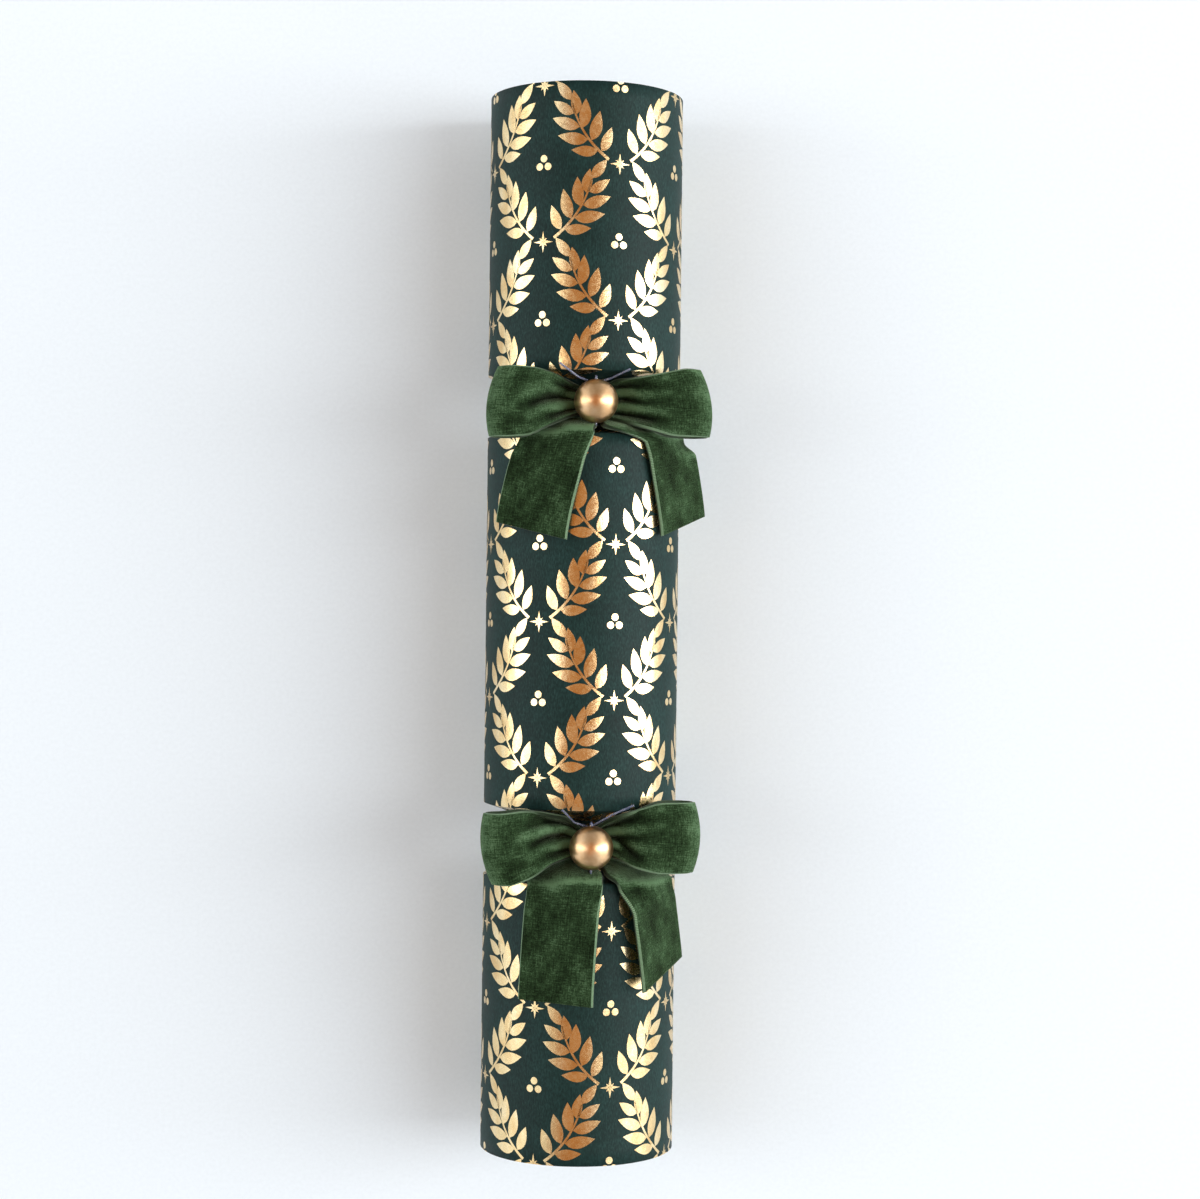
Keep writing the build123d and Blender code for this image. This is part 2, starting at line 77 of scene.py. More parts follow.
# Bows, as built
ribbon_width = 22.0
ribbon_thickness = 1.0
pinch_width = 5.6
pinch_pleat_depth = 1.6
top_pleat_depth = 2.2
pinch_pleats = 6
layer_gap = 0.3
drape_clearance = 0.6
bow_roll = 7.4
loop_bend_radius = 4.1
loop_lean = 2.6
loop_relief = 0.9
loop_corner_recess = 1.9
thread_diameter = 0.6

# Stations along the axis
overall_length = (top_barrel_length + upper_choke_length + centre_barrel_length
                  + lower_choke_length + bottom_barrel_length)
bottom_mouth_y = -overall_length / 2
bottom_shoulder_y = bottom_mouth_y + bottom_barrel_length
centre_low_y = bottom_shoulder_y + lower_choke_length
centre_high_y = centre_low_y + centre_barrel_length
top_shoulder_y = centre_high_y + upper_choke_length
top_mouth_y = top_shoulder_y + top_barrel_length
upper_choke_y = (centre_high_y + top_shoulder_y) / 2
lower_choke_y = (bottom_shoulder_y + centre_low_y) / 2
axis_height = barrel_radius

# Pleats keep the barrel's length of paper
pleat_angle = pi / pleats
panel_width = 2 * pi * barrel_radius / (2 * pleats)
throat_radius = snap_width / 2 + throat_clearance


def outer_fold(inner_radius):
    """Radius of the outer folds where the inner folds lie at inner_radius."""
    across = inner_radius * sin(pleat_angle)
    return inner_radius * cos(pleat_angle) + sqrt(panel_width ** 2 - across ** 2)


neck_radius = outer_fold(throat_radius + 3 * wrap_thickness)

# Heights above the axis in a bow
tie_radius = neck_radius + tie_clearance + tie_diameter / 2
thread_low = tie_radius + tie_diameter / 2 + layer_gap + thread_diameter / 2
flat_stack = pinch_pleat_depth / 2 + ribbon_thickness / 2
tails_height = thread_low + thread_diameter / 2 + layer_gap + flat_stack
under_layer_height = tails_height + 2 * flat_stack + layer_gap
over_layer_height = under_layer_height + flat_stack + layer_gap + (top_pleat_depth + ribbon_thickness) / 2
drape_radius = barrel_radius + drape_clearance + ribbon_thickness / 2

rng = np.random.default_rng(24)


def smooth(share):
    """Ease from 0 to 1."""
    share = min(max(share, 0.0), 1.0)
    return share * share * (3 - 2 * share)


def linear(*srgb):
    """Colour for a shader socket from 8-bit screen values."""
    return tuple(((c / 255 + 0.055) / 1.055) ** 2.4 if c > 10 else c / 255 / 12.92 for c in srgb) + (1.0,)


# Meshes
def mesh_piece(name, points, faces, materials, face_materials=None, maps=None):
    """Object from points in millimetres, with one value of each map for every point."""
    mesh = bpy.data.meshes.new(name)
    mesh.from_pydata((np.asarray(points) * METRES).tolist(), [], faces)
    for material in materials:
        mesh.materials.append(material)
    if face_materials is not None:
        mesh.polygons.foreach_set("material_index", np.asarray(face_materials, np.int32))
    mesh.polygons.foreach_set("use_smooth", np.ones(len(mesh.polygons), bool))
    corners = np.empty(len(mesh.loops), np.int32)
    mesh.loops.foreach_get("vertex_index", corners)
    for map_name, values in (maps or {}).items():
        layer = mesh.uv_layers.new(name=map_name)
        layer.uv.foreach_set("vector", np.asarray(values, np.float32)[corners].ravel())
    mesh.update()
    piece = bpy.data.objects.new(name, mesh)
    bpy.context.scene.collection.objects.link(piece)
    return piece


def grid_faces(rows, columns, closed_rows=False, closed_columns=False):
    """Quads of a grid of points, counted row by row."""
    faces = []
    for i in range(rows if closed_rows else rows - 1):
        below, above = i * columns, (i + 1) % rows * columns
        for j in range(columns if closed_columns else columns - 1):
            k = (j + 1) % columns
            faces.append((below + j, below + k, above + k, above + j))
    return faces


def grid_normals(points):
    """Unit normals of a grid of points, rows by columns by 3."""
    along = np.gradient(points, axis=0)
    across = np.gradient(points, axis=1)
    normals = np.cross(across, along)
    return normals / np.maximum(np.linalg.norm(normals, axis=2, keepdims=True), 1e-12)


# Materials
def add_node(tree, kind, links=(), **settings):
    """Add a node, set its properties or inputs, and link inputs as (name or index, output)."""
    node = tree.nodes.new(kind)
    for key, value in settings.items():
        if hasattr(node, key):
            setattr(node, key, value)
        else:
            node.inputs[key.replace("_", " ")].default_value = value
    for place, output in links:
        tree.links.new(output, node.inputs[place])
    return node


def add_ramp(tree, value, stops):
    """Colour ramp over value. A stop is a place and a (red, green, blue, alpha) level."""
    node = add_node(tree, "ShaderNodeValToRGB", [("Fac", value)])
    elements = node.color_ramp.elements
    while len(elements) < len(stops):
        elements.new(0.5)
    for element, (position, colour) in zip(elements, stops):
        element.position = position
        element.color = colour
    return node.outputs["Color"]


class Nodes:
    """A node material with a Principled shader, and short ways to add to it."""

    def __init__(self, name, base, roughness, metallic=0.0, **sockets):
        self.material = bpy.data.materials.new(name)
        self.material.use_nodes = True
        self.tree = self.material.node_tree
        self.shader = self.tree.nodes["Principled BSDF"]
        self.shader.inputs["Base Color"].default_value = linear(*base)
        self.shader.inputs["Roughness"].default_value = roughness
        self.shader.inputs["Metallic"].default_value = metallic
        for socket, value in sockets.items():
            self.shader.inputs[socket.replace("_", " ")].default_value = value

    def add(self, kind, links=(), **settings):
        """Add a node to this material."""
        return add_node(self.tree, kind, links, **settings)

    def cloth(self, map_name, scale=(1.0, 1.0, 1.0)):
        """Coordinates of the flat sheet, in millimetres, times scale."""
        start = self.add("ShaderNodeUVMap", uv_map=map_name)
        return self.add("ShaderNodeMapping", [("Vector", start.outputs[0])], Scale=scale).outputs[0]

    def noise(self, vector, scale, detail, roughness):
        """Noise from 0 to 1 at these coordinates."""
        return self.add("ShaderNodeTexNoise", [("Vector", vector)], Scale=scale, Detail=detail,
                        Roughness=roughness).outputs["Fac"]

    def grain(self, scale, detail, roughness, stretch=(1.0, 1.0, 1.0)):
        """Noise that stays with the piece, in its own axes times stretch."""
        start = self.add("ShaderNodeTexCoord")
        place = self.add("ShaderNodeMapping", [("Vector", start.outputs["Object"])], Scale=stretch)
        return self.noise(place.outputs[0], scale, detail, roughness)

    def nap(self, across, along, detail, roughness):
        """Noise of the flat ribbon, with its scales across and along it."""
        return self.noise(self.cloth("ribbon", (across, along, 1.0)), 1.0, detail, roughness)

    def cross_ribs(self, scale, distortion, detail):
        """Ribs that run across the flat ribbon."""
        return self.add("ShaderNodeTexWave", [("Vector", self.cloth("ribbon"))], bands_direction="Y",
                        Scale=scale, Distortion=distortion, Detail=detail).outputs["Fac"]

    def fold_shade_and_selvedge(self, axis):
        """One channel of the ribbon's map: painted fold shade in X, and how far its selvedge is shown in Y.
        """
        return self.add("ShaderNodeSeparateXYZ", [("Vector", self.cloth("fold_shade_and_selvedge"))]).outputs[axis]

    def ramp(self, value, *stops):
        """Colour ramp over value. A stop is a place and a colour in screen values."""
        return add_ramp(self.tree, value, [(position, linear(*colour)) for position, colour in stops])

    def spread(self, value, low, high, from_low=0.3, from_high=0.7):
        """Value stretched to run from low to high. Most of a noise lies between 0.3 and 0.7."""
        return self.add("ShaderNodeMapRange", [("Value", value)], **{
            "From_Min": from_low, "From_Max": from_high, "To_Min": low, "To_Max": high}).outputs[0]

    def math(self, operation, first, second):
        """One operation on two values, each an output or a number."""
        node = self.add("ShaderNodeMath", operation=operation)
        for index, value in enumerate((first, second)):
            if isinstance(value, (int, float)):
                node.inputs[index].default_value = value
            else:
                self.tree.links.new(value, node.inputs[index])
        return node.outputs[0]

    def total(self, first, *others):
        """Sum of values times their weights, each given as (value, weight)."""
        total = self.math("MULTIPLY", *first)
        for value, weight in others:
            total = self.math("ADD", total, self.math("MULTIPLY", value, weight))
        return total

    def mix(self, share, first, second):
        """First colour at share 0, second at 1, each an output or screen values."""
        node = self.add("ShaderNodeMix", [("Factor", share)], data_type="RGBA")
        for index, colour in ((6, first), (7, second)):
            if isinstance(colour, tuple):
                node.inputs[index].default_value = linear(*colour)
            else:
                self.tree.links.new(colour, node.inputs[index])
        return node.outputs[2]

    def colour(self, output):
        """Take the base colour from an output."""
        self.tree.links.new(output, self.shader.inputs["Base Color"])

    def rough(self, output):
        """Take the roughness from an output."""
        self.tree.links.new(output, self.shader.inputs["Roughness"])

    def bump(self, height, depth):
        """Bump from a 0 to 1 height, depth in millimetres."""
        node = self.add("ShaderNodeBump", [("Height", height)], Strength=1.0, Distance=depth * METRES)
        self.tree.links.new(node.outputs[0], self.shader.inputs["Normal"])


def card_material():
    """Dark green coated card with fine fibres and a faint mottling."""
    n = Nodes("printed_card", (23, 46, 43), 0.55, Specular_IOR_Level=0.14)
    fibres = n.grain(2600, 3.0, 0.6, (1.0, 0.35, 1.0))
    clouds = n.grain(90, 4.0, 0.6)
    shade = n.total((fibres, 0.65), (clouds, 0.35))
    n.colour(n.ramp(shade, (0.34, (15, 33, 31)), (0.50, (23, 46, 43)), (0.66, (34, 61, 58))))
    n.rough(n.spread(clouds, 0.50, 0.60))
    n.bump(shade, 0.05)
    return n.material


def foil_material():
    """Hot-stamped gold foil: bright, a little uneven, with fine wrinkles of the card below."""
    n = Nodes("gold_foil", (234, 208, 160), 0.24, 1.0)
    fibres = n.grain(1100, 3.0, 0.6)
    waves = n.grain(240, 2.0, 0.5, (1.0, 0.5, 1.0))
    n.colour(n.ramp(waves, (0.30, (220, 186, 132)), (0.52, (234, 208, 158)), (0.75, (241, 221, 180))))
    n.rough(n.spread(fibres, 0.20, 0.32))
    n.bump(n.total((fibres, 0.35), (waves, 0.65)), 0.10)
    return n.material


def grained_material(name, base, roughness, grain, stops, depth=0.0, rough=(), metallic=0.0, **sockets):
    """Material whose colour, relief and roughness follow one grain."""
    n = Nodes(name, base, roughness, metallic, **sockets)
    noise = n.grain(*grain)
    n.colour(n.ramp(noise, *stops))
    if rough:
        n.rough(n.spread(noise, *rough))
    if depth:
        n.bump(noise, depth)
    return n.material


def paper_material(name, base):
    """Plain paper or thin card, with fibres a little darker than its base colour."""
    fibre_share = 0.88
    fibres = tuple(int(c * fibre_share) for c in base)
    return grained_material(name, base, 0.85, (2200, 4.0, 0.6, (1.0, 0.4, 1.0)),
                            ((0.30, fibres), (0.70, base)), 0.05)


def board_material():
    """Grey-white liner board with darker specks."""
    n = Nodes("liner_board", (196, 190, 178), 0.9)
    fibres = n.grain(1100, 5.0, 0.7, (1.0, 0.25, 1.0))
    specks = n.grain(3000, 2.0, 0.5)
    base = n.ramp(fibres, (0.30, (178, 171, 157)), (0.70, (209, 204, 193)))
    n.colour(n.mix(n.spread(specks, 0.0, 1.0, 0.64, 0.72), base, (142, 131, 112)))
    n.bump(fibres, 0.08)
    return n.material


def velvet_material():
    """Pile side of the ribbon: brushed and patchy, with a painted highlight on its ridges and painted shade
    in its valleys.
    """
    n = Nodes("velvet_pile", (38, 56, 34), 0.95, Specular_IOR_Level=0.03, Sheen_Weight=0.44,
              Sheen_Roughness=0.34, Sheen_Tint=linear(178, 206, 168))
    brushed = n.nap(0.40, 0.16, 3.0, 0.5)
    patches = n.nap(0.11, 0.09, 2.0, 0.5)
    pile = n.nap(2.6, 2.3, 3.0, 0.7)
    ribs = n.nap(0.35, 2.6, 2.0, 0.5)
    rows = n.nap(2.6, 0.35, 2.0, 0.5)
    # Painted shade: the first channel of the map paints the pile darker in the folds' valleys and lighter
    # on their ridges
    fold_shade = n.math("SUBTRACT", n.fold_shade_and_selvedge("X"), 0.5)
    tone_and_fold_shade = n.total((brushed, 0.12), (patches, 0.24), (pile, 0.30), (ribs, 0.17), (rows, 0.17),
                   (fold_shade, 0.36))
    n.colour(n.ramp(tone_and_fold_shade, (0.38, (9, 16, 7)), (0.47, (29, 44, 25)), (0.53, (47, 68, 43)),
                    (0.64, (90, 119, 86))))
    n.bump(n.total((pile, 0.7), (ribs, 0.3)), 0.35)
    return n.material


def ribbon_back_material():
    """Woven back of the ribbon: flat, with fine cross threads."""
    n = Nodes("ribbon_back", (54, 74, 48), 0.7, Sheen_Weight=0.1)
    weave = n.total((n.cross_ribs(1.1, 0.6, 1.0), 0.5), (n.nap(6.0, 1.2, 2.0, 0.5), 0.5))
    n.colour(n.ramp(weave, (0.25, (42, 60, 38)), (0.75, (66, 88, 60))))
    n.bump(weave, 0.08)
    return n.material


def selvedge_material():
    """Woven selvedge: paler, ribbed across, and lost in the pile where the ribbon is gathered."""
    n = Nodes("ribbon_selvedge", (112, 142, 108), 0.8, Specular_IOR_Level=0.1, Sheen_Weight=0.1)
    ribs = n.cross_ribs(0.9, 0.8, 2.0)
    woven = n.ramp(ribs, (0.20, (86, 114, 82)), (0.80, (138, 168, 134)))
    n.colour(n.mix(n.fold_shade_and_selvedge("Y"), (32, 48, 28), woven))
    n.bump(ribs, 0.12)
    return n.material


def bead_material():
    """Satin copper-gold metal lacquer, with a faint orange-peel and rubs."""
    n = Nodes("bead_lacquer", (226, 184, 136), 0.32, 1.0, Coat_Weight=0.4, Coat_Roughness=0.3)
    rubs = n.grain(220, 5.0, 0.65)
    n.colour(n.ramp(rubs, (0.30, (206, 158, 106)), (0.55, (228, 186, 138)), (0.75, (238, 204, 162))))
    n.rough(n.spread(rubs, 0.29, 0.38))
    n.bump(n.grain(1400, 2.0, 0.5), 0.02)
    return n.material


card = card_material()
foil = foil_material()
velvet = velvet_material()
ribbon_back = ribbon_back_material()
selvedge = selvedge_material()
card_back = grained_material("card_back", (232, 230, 222), 0.85, (1800, 4.0, 0.65, (1.0, 0.3, 1.0)),
                             ((0.30, (214, 211, 201)), (0.70, (241, 239, 232))), 0.05)
gold_yarn = grained_material("gold_yarn", (222, 172, 82), 0.34, (3800, 2.0, 0.5),
                             ((0.32, (172, 120, 44)), (0.55, (226, 178, 90)), (0.72, (250, 222, 156))),
                             0.04, metallic=1.0)
clear_nylon = grained_material("clear_nylon", (150, 160, 195), 0.18, (900, 2.0, 0.5),
                               ((0.30, (118, 130, 172)), (0.70, (190, 196, 216))),
                               Transmission_Weight=0.7, IOR=1.5)
turned_brass = grained_material("drawn_brass", (214, 170, 88), 0.25, (3.0, 3.0, 0.6, (30.0, 900.0, 30.0)),
                                ((0.3, (196, 150, 70)), (0.7, (228, 188, 110))),
                                rough=(0.18, 0.36), metallic=1.0)
pale_ground = grained_material("pale_ground", (233, 243, 250), 0.9, (900, 3.0, 0.5),
                               ((0.30, (231, 241, 248)), (0.70, (235, 245, 252))), Specular_IOR_Level=0.1)


# Printed wraps. A share of a funnel runs from its shoulder, 0, to its neck, 1
funnel_shares = ((0.0, 1.0), (0.40, 0.60), (0.74, 0.25), (1.0, 0.0))
shoulder_rounding_share = 0.05
folding_share = 0.22
fold_jitter_share = 0.20
tip_jitter = (-0.5, 0.3)
tip_jitter_share = 0.6
folded_rate = 1.6
crease_rounding = 0.5
columns_per_panel = 12
barrel_row_spacing = 4.0
funnel_rows = 26
neck_rows = 4
lap_rise_columns = 3
lap_lift_share = 1.05
half_neck = neck_length / 2


def left_share(share):
    """Share of the choke's depth that is left at a share of a funnel."""
    for (start, left_start), (end, left_end) in zip(funnel_shares, funnel_shares[1:]):
        if share <= end:
            return left_start + (left_end - left_start) * (share - start) / (end - start)
    return 0.0


def soft_left(share):
    """The same with its corners rounded."""
    steps = (-1.0, -0.5, 0.0, 0.5, 1.0)
    places = [share + step * shoulder_rounding_share for step in steps]
    return sum(min(left_share(place), 1.0) for place in places) / len(steps)


def funnel_radius(share):
    """Radius of the outer folds at a share of a funnel."""
    return neck_radius + left_share(share) * (barrel_radius - neck_radius)


def round_ring(turns, radius):
    """Points of a circle across the axis at these angles."""
    return np.stack([np.cos(turns), np.sin(turns)], 1) * radius


class Choke:
    """The folds of one choke, shared by the funnels on both sides of it."""

    def __init__(self, y, length, twist_deg):
        self.y = y
        self.length = length
        self.twist = radians(twist_deg)
        jitter = rng.uniform(-fold_jitter_share, fold_jitter_share, 2 * pleats)
        self.folds = (np.arange(2 * pleats) + jitter) * pleat_angle
        self.depths = rng.uniform(*tip_jitter, 2 * pleats)

    def fold_radii(self, tip_radius, depth_share):
        """Radii of the outer and inner folds in turn, where each panel is as wide as its paper."""
        count = len(self.folds)
        radii = np.full(count, tip_radius)
        deepest = throat_radius + wrap_thickness
        for k in range(1, count, 2):
            ways = []
            for other in (k - 1, (k + 1) % count):
                between = abs((self.folds[other] - self.folds[k] + pi) % (2 * pi) - pi)
                across = tip_radius * sin(between)
                paper = max(barrel_radius * between, across)
                ways.append(tip_radius * cos(between) - sqrt(paper ** 2 - across ** 2))
            radii[k] = tip_radius + (max(sum(ways) / 2, deepest) - tip_radius) * depth_share
        radii[::2] += self.depths[::2] * depth_share * tip_jitter_share
        return radii

    def ring(self, turns, tip_radius, depth_share, twist):
        """Points of the pleated paper across the axis at these angles."""
        radii = self.fold_radii(tip_radius, depth_share)
        angles = np.concatenate([self.folds, [self.folds[0] + 2 * pi]]) + twist
        radii = np.concatenate([radii, [radii[0]]])
        corners = np.stack([np.cos(angles) * radii, np.sin(angles) * radii], 1)
        total = np.zeros((len(turns), 2))
        taps = np.linspace(-1, 1, 5) * crease_rounding / barrel_radius
        for tap in taps:
            wrapped = (turns + tap + twist - angles[0]) % (2 * pi) + angles[0]
            for axis in (0, 1):
                total[:, axis] += np.interp(wrapped, angles, corners[:, axis])
        folded = total / len(taps)
        share = smooth(depth_share * folded_rate)
        return round_ring(turns, tip_radius) * (1 - share) + folded * share


upper_choke = Choke(upper_choke_y, upper_choke_length, 5.0)
lower_choke = Choke(lower_choke_y, lower_choke_length, -4.0)
upper_tear_y = upper_choke_y - half_neck + tear_distance
lower_tear_y = lower_choke_y + half_neck - tear_distance


# A stop is (y, radius of the outer folds, share of the folds' depth, twist, choke or None)
def barrel_stops(low_y, high_y):
    """Stops along a barrel."""
    count = ceil((high_y - low_y) / barrel_row_spacing)
    places = [low_y + (high_y - low_y) * step / count for step in range(count + 1)]
    return [(y, barrel_radius, 0.0, 0.0, None) for y in places]


def funnel_stops(shoulder_y, side, end_y, choke):
    """Stops from a barrel's shoulder down to the neck, and on to the torn end."""
    neck_y = choke.y + side * half_neck
    stops = []
    for step in range(1, funnel_rows + 1):
        share = step / funnel_rows
        left = soft_left(share)
        tip = neck_radius + left * (barrel_radius - neck_radius)
        y = shoulder_y + (neck_y - shoulder_y) * share
        stops.append((y, tip, smooth(share / folding_share), choke.twist * (1 - left), choke))
    for step in range(1, neck_rows + 1):
        y = neck_y + (end_y - neck_y) * step / neck_rows
        stops.append((y, neck_radius, 1.0, choke.twist, choke))
    return stops


def paper_places(stops):
    """Places of the stops along the flat paper."""
    runs = [hypot(b[0] - a[0], b[1] - a[1]) for a, b in zip(stops, stops[1:])]
    return np.concatenate([[0.0], np.cumsum(runs)])


def paper_sheet(stops):
    """Points, normals and places across of a printed sheet that is rolled round the cracker."""
    columns = 2 * pleats * columns_per_panel
    step = 2 * pi * barrel_radius / columns
    across = np.arange(columns + ceil(lap_width / step) + 1) * step
    turns = radians(lap_angle) + across / barrel_radius
    past_seam = (across - 2 * pi * barrel_radius) / (lap_rise_columns * step)
    lapped = np.array([smooth(columns_past + 1) for columns_past in past_seam])
    rows = []
    for y, tip, depth_share, twist, choke in stops:
        ring = choke.ring(turns, tip, depth_share, twist) if choke else round_ring(turns, tip)
        rows.append(np.stack([ring[:, 0], np.full(len(turns), y), ring[:, 1] + axis_height], 1))
    points = np.array(rows)
    normals = -grid_normals(points)
    points = points + normals * (lapped * wrap_thickness * lap_lift_share)[None, :, None]
    return points, normals, across


# Foil print: laurel twigs in a straight repeat, tilted by turns to the left and to the right
print_columns = 8
print_pitch = 2 * pi * barrel_radius / print_columns
twig_length = 25.0
twig_tilt_deg = 33.0
twig_bend = 1.8
twig_middle_share = 0.6
stem_share = 0.78
stem_half_width = 0.42
stem_taper = 0.22
stem_steps = 10
leaf_steps = 7
leaf_point_power = 0.82
leaf_side_power = 0.9
leaf_bend = 1.1
leaf_stagger_share = 0.035
leaf_root_x = 0.32
leaf_root_y = 0.25
star_radius = 3.0
star_short_share = 0.55
star_width_share = 0.13
star_waist_share = 0.3
dot_radius = 1.05
dot_offset = 1.5
foil_lift = 0.03

# A pair of leaves is (place along the stem as a share, length, width, angle to the stem in degrees)
leaf_pairs = ((0.14, 7.4, 3.1, 64), (0.35, 8.6, 3.5, 56), (0.57, 8.2, 3.4, 46), (0.78, 6.8, 3.0, 34))
end_leaf = (2, 6.8, 3.0, 0.3)


def leaf(base, direction_deg, length, width, bend):
    """Convex quads of one pointed leaf, from its base."""
    direction = radians(direction_deg)
    ahead = np.array([sin(direction), cos(direction)])
    beside = np.array([cos(direction), -sin(direction)])
    left, right = [], []
    for step in range(leaf_steps + 1):
        share = step / leaf_steps
        swell = sin(pi * share ** leaf_point_power) ** leaf_side_power if 0 < share < 1 else 0.0
        half = width / 2 * swell
        middle = np.array(base) + ahead * length * share + beside * bend * share ** 2
        left.append(middle - beside * half)
        right.append(middle + beside * half)
    return [np.array([left[k], right[k], right[k + 1], left[k + 1]]) for k in range(leaf_steps)]


def disc(centre, radius, corners=14):
    """One convex polygon near a circle."""
    turns = np.arange(corners) * 2 * pi / corners
    return [np.stack([centre[0] + radius * np.cos(turns), centre[1] + radius * np.sin(turns)], 1)]


def star(centre, radius, points=8):
    """Small star of thin rhombs, long and short by turns."""
    shapes = []
    for k in range(points):
        turn = k * 2 * pi / points
        reach = radius if k % 2 == 0 else radius * star_short_share
        tip = np.array([sin(turn), cos(turn)]) * reach
        side = np.array([cos(turn), -sin(turn)]) * radius * star_width_share
        middle = tip * star_waist_share
        shapes.append(np.array([[0, 0], middle + side, tip, middle - side]) + np.array(centre))
    return shapes


def dots(centre):
    """Three dots round a place."""
    shapes = []
    for k in range(3):
        turn = 2 * pi * k / 3 + pi / 2
        shapes += disc(centre + np.array([cos(turn), sin(turn)]) * dot_offset, dot_radius)
    return shapes


def stem(share):
    """Place along a twig's bent stem."""
    return np.array([twig_bend * (4 * share * (1 - share) - twig_middle_share),
                     -twig_length / 2 + twig_length * stem_share * share])


def twig():
    """Convex shapes of one laurel twig, upright, about its own middle."""
    shapes = []
    for step in range(stem_steps):
        a, b = stem(step / stem_steps), stem((step + 1) / stem_steps)
        half_a = stem_half_width - stem_taper * step / stem_steps
        half_b = stem_half_width - stem_taper * (step + 1) / stem_steps
        side = np.array([b[1] - a[1], a[0] - b[0]]) / hypot(*(b - a))
        shapes.append(np.array([a - side * half_a, a + side * half_a,
                                b + side * half_b, b - side * half_b]))
    for share, length, width, angle in leaf_pairs:
        for side in (-1, 1):
            base = stem(share + (leaf_stagger_share if side > 0 else 0.0))
            base = base + np.array([side * leaf_root_x, leaf_root_y])
            shapes += leaf(base, side * angle, length, width, -side * leaf_bend)
    shapes += leaf(stem(1.0) + np.array([0.0, leaf_root_y]), *end_leaf)
    return shapes


def print_shapes(across_end, along_start, along_end):
    """All shapes of the print that reach a stretch of the sheet."""
    one_twig = twig()
    shapes = []
    for column in range(-1, ceil(across_end / print_pitch) + 1):
        for row in range(floor(along_start / print_pitch) - 1, ceil(along_end / print_pitch) + 2):
            side = 1 if (row + column) % 2 == 0 else -1
            tilt = radians(twig_tilt_deg) * side
            turn = np.array([[cos(tilt), -sin(tilt)], [sin(tilt), cos(tilt)]])
            centre = np.array([(column + 0.5) * print_pitch, (row + 0.5) * print_pitch])
            corner = centre + np.array([print_pitch / 2, print_pitch / 2])
            shapes += [shape * np.array([side, 1.0]) @ turn + centre for shape in one_twig]
            shapes += star(corner, star_radius) if side > 0 else dots(corner)
    return shapes


def clockwise(shape):
    """The same polygon with its points in clockwise order."""
    ahead = np.roll(shape, -1, axis=0)
    area = (shape[:, 0] * ahead[:, 1] - ahead[:, 0] * shape[:, 1]).sum()
    return shape[::-1] if area > 0 else shape


def clip(shape, axis, limit, side):
    """Part of a convex shape on one side of a line across the sheet or along it."""
    kept = []
    for a, b in zip(shape, np.roll(shape, -1, axis=0)):
        a_in, b_in = side * (a[axis] - limit) >= 0, side * (b[axis] - limit) >= 0
        if a_in:
            kept.append(a)
        if a_in != b_in:
            kept.append(a + (b - a) * (limit - a[axis]) / (b[axis] - a[axis]))
    return np.array(kept)


def in_cell(grid, i, j, u, v):
    """Values of a grid inside one of its cells, u of the way across it and v along it."""
    return (grid[i, j] * (1 - u) * (1 - v) + grid[i, j + 1] * u * (1 - v)
            + grid[i + 1, j + 1] * u * v + grid[i + 1, j] * (1 - u) * v)


def foil_piece(name, points, normals, across, along):
    """Foil shapes laid on a sheet, cut along its own grid so that they lie on every fold."""
    step = across[1] - across[0]
    verts, norms, faces = [], [], []
    for shape in map(clockwise, print_shapes(across[-1], along[0], along[-1])):
        low, high = shape.min(0), shape.max(0)
        if high[1] <= along[0] or low[1] >= along[-1] or high[0] <= 0 or low[0] >= across[-1]:
            continue
        first_column = max(floor(low[0] / step), 0)
        last_column = min(floor(high[0] / step), len(across) - 2)
        first_row = max(int(np.searchsorted(along, low[1], "right")) - 1, 0)
        last_row = min(int(np.searchsorted(along, high[1], "left")) - 1, len(along) - 2)
        for j in range(first_column, last_column + 1):
            strip = clip(clip(shape, 0, across[j], 1), 0, across[j + 1], -1)
            for i in range(first_row, last_row + 1):
                part = clip(clip(strip, 1, along[i], 1), 1, along[i + 1], -1)
                if not len(part):
                    continue
                u = ((part[:, 0] - across[j]) / step)[:, None]
                v = ((part[:, 1] - along[i]) / (along[i + 1] - along[i]))[:, None]
                place, normal = (in_cell(grid, i, j, u, v) for grid in (points, normals))
                faces.append(list(range(len(verts), len(verts) + len(part))))
                verts.extend(place + normal * foil_lift)
                norms.extend(normal)
    piece = mesh_piece(name, np.array(verts), faces, [foil])
    lengths = np.linalg.norm(norms, axis=1, keepdims=True)
    piece.data.normals_split_custom_set_from_vertices((np.array(norms) / lengths).tolist())
    return piece


def wrap_piece(name, stops, body, cad_node, paper_start):
    """One printed wrap with its foil, as a lapped and pleated sheet with real thickness."""
    points, normals, across = paper_sheet(stops)
    along = paper_places(stops) + paper_start
    rows, columns = points.shape[:2]
    flat = np.stack(np.meshgrid(across, along), 2).reshape(-1, 2)
    faces = [face[::-1] for face in grid_faces(rows, columns)]
    piece = mesh_piece(name, points.reshape(-1, 3), faces, [card, card_back, card_back],
                       maps={"paper": flat})
    shell = piece.modifiers.new("thickness", "SOLIDIFY")
    shell.thickness = wrap_thickness * METRES
    shell.offset = -1.0
    shell.material_offset = 1
    shell.material_offset_rim = 2
    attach(piece, body)
    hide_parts(cad_node)
    print_piece = foil_piece(name + "_foil", points, normals, across, along)
    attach(print_piece, body)


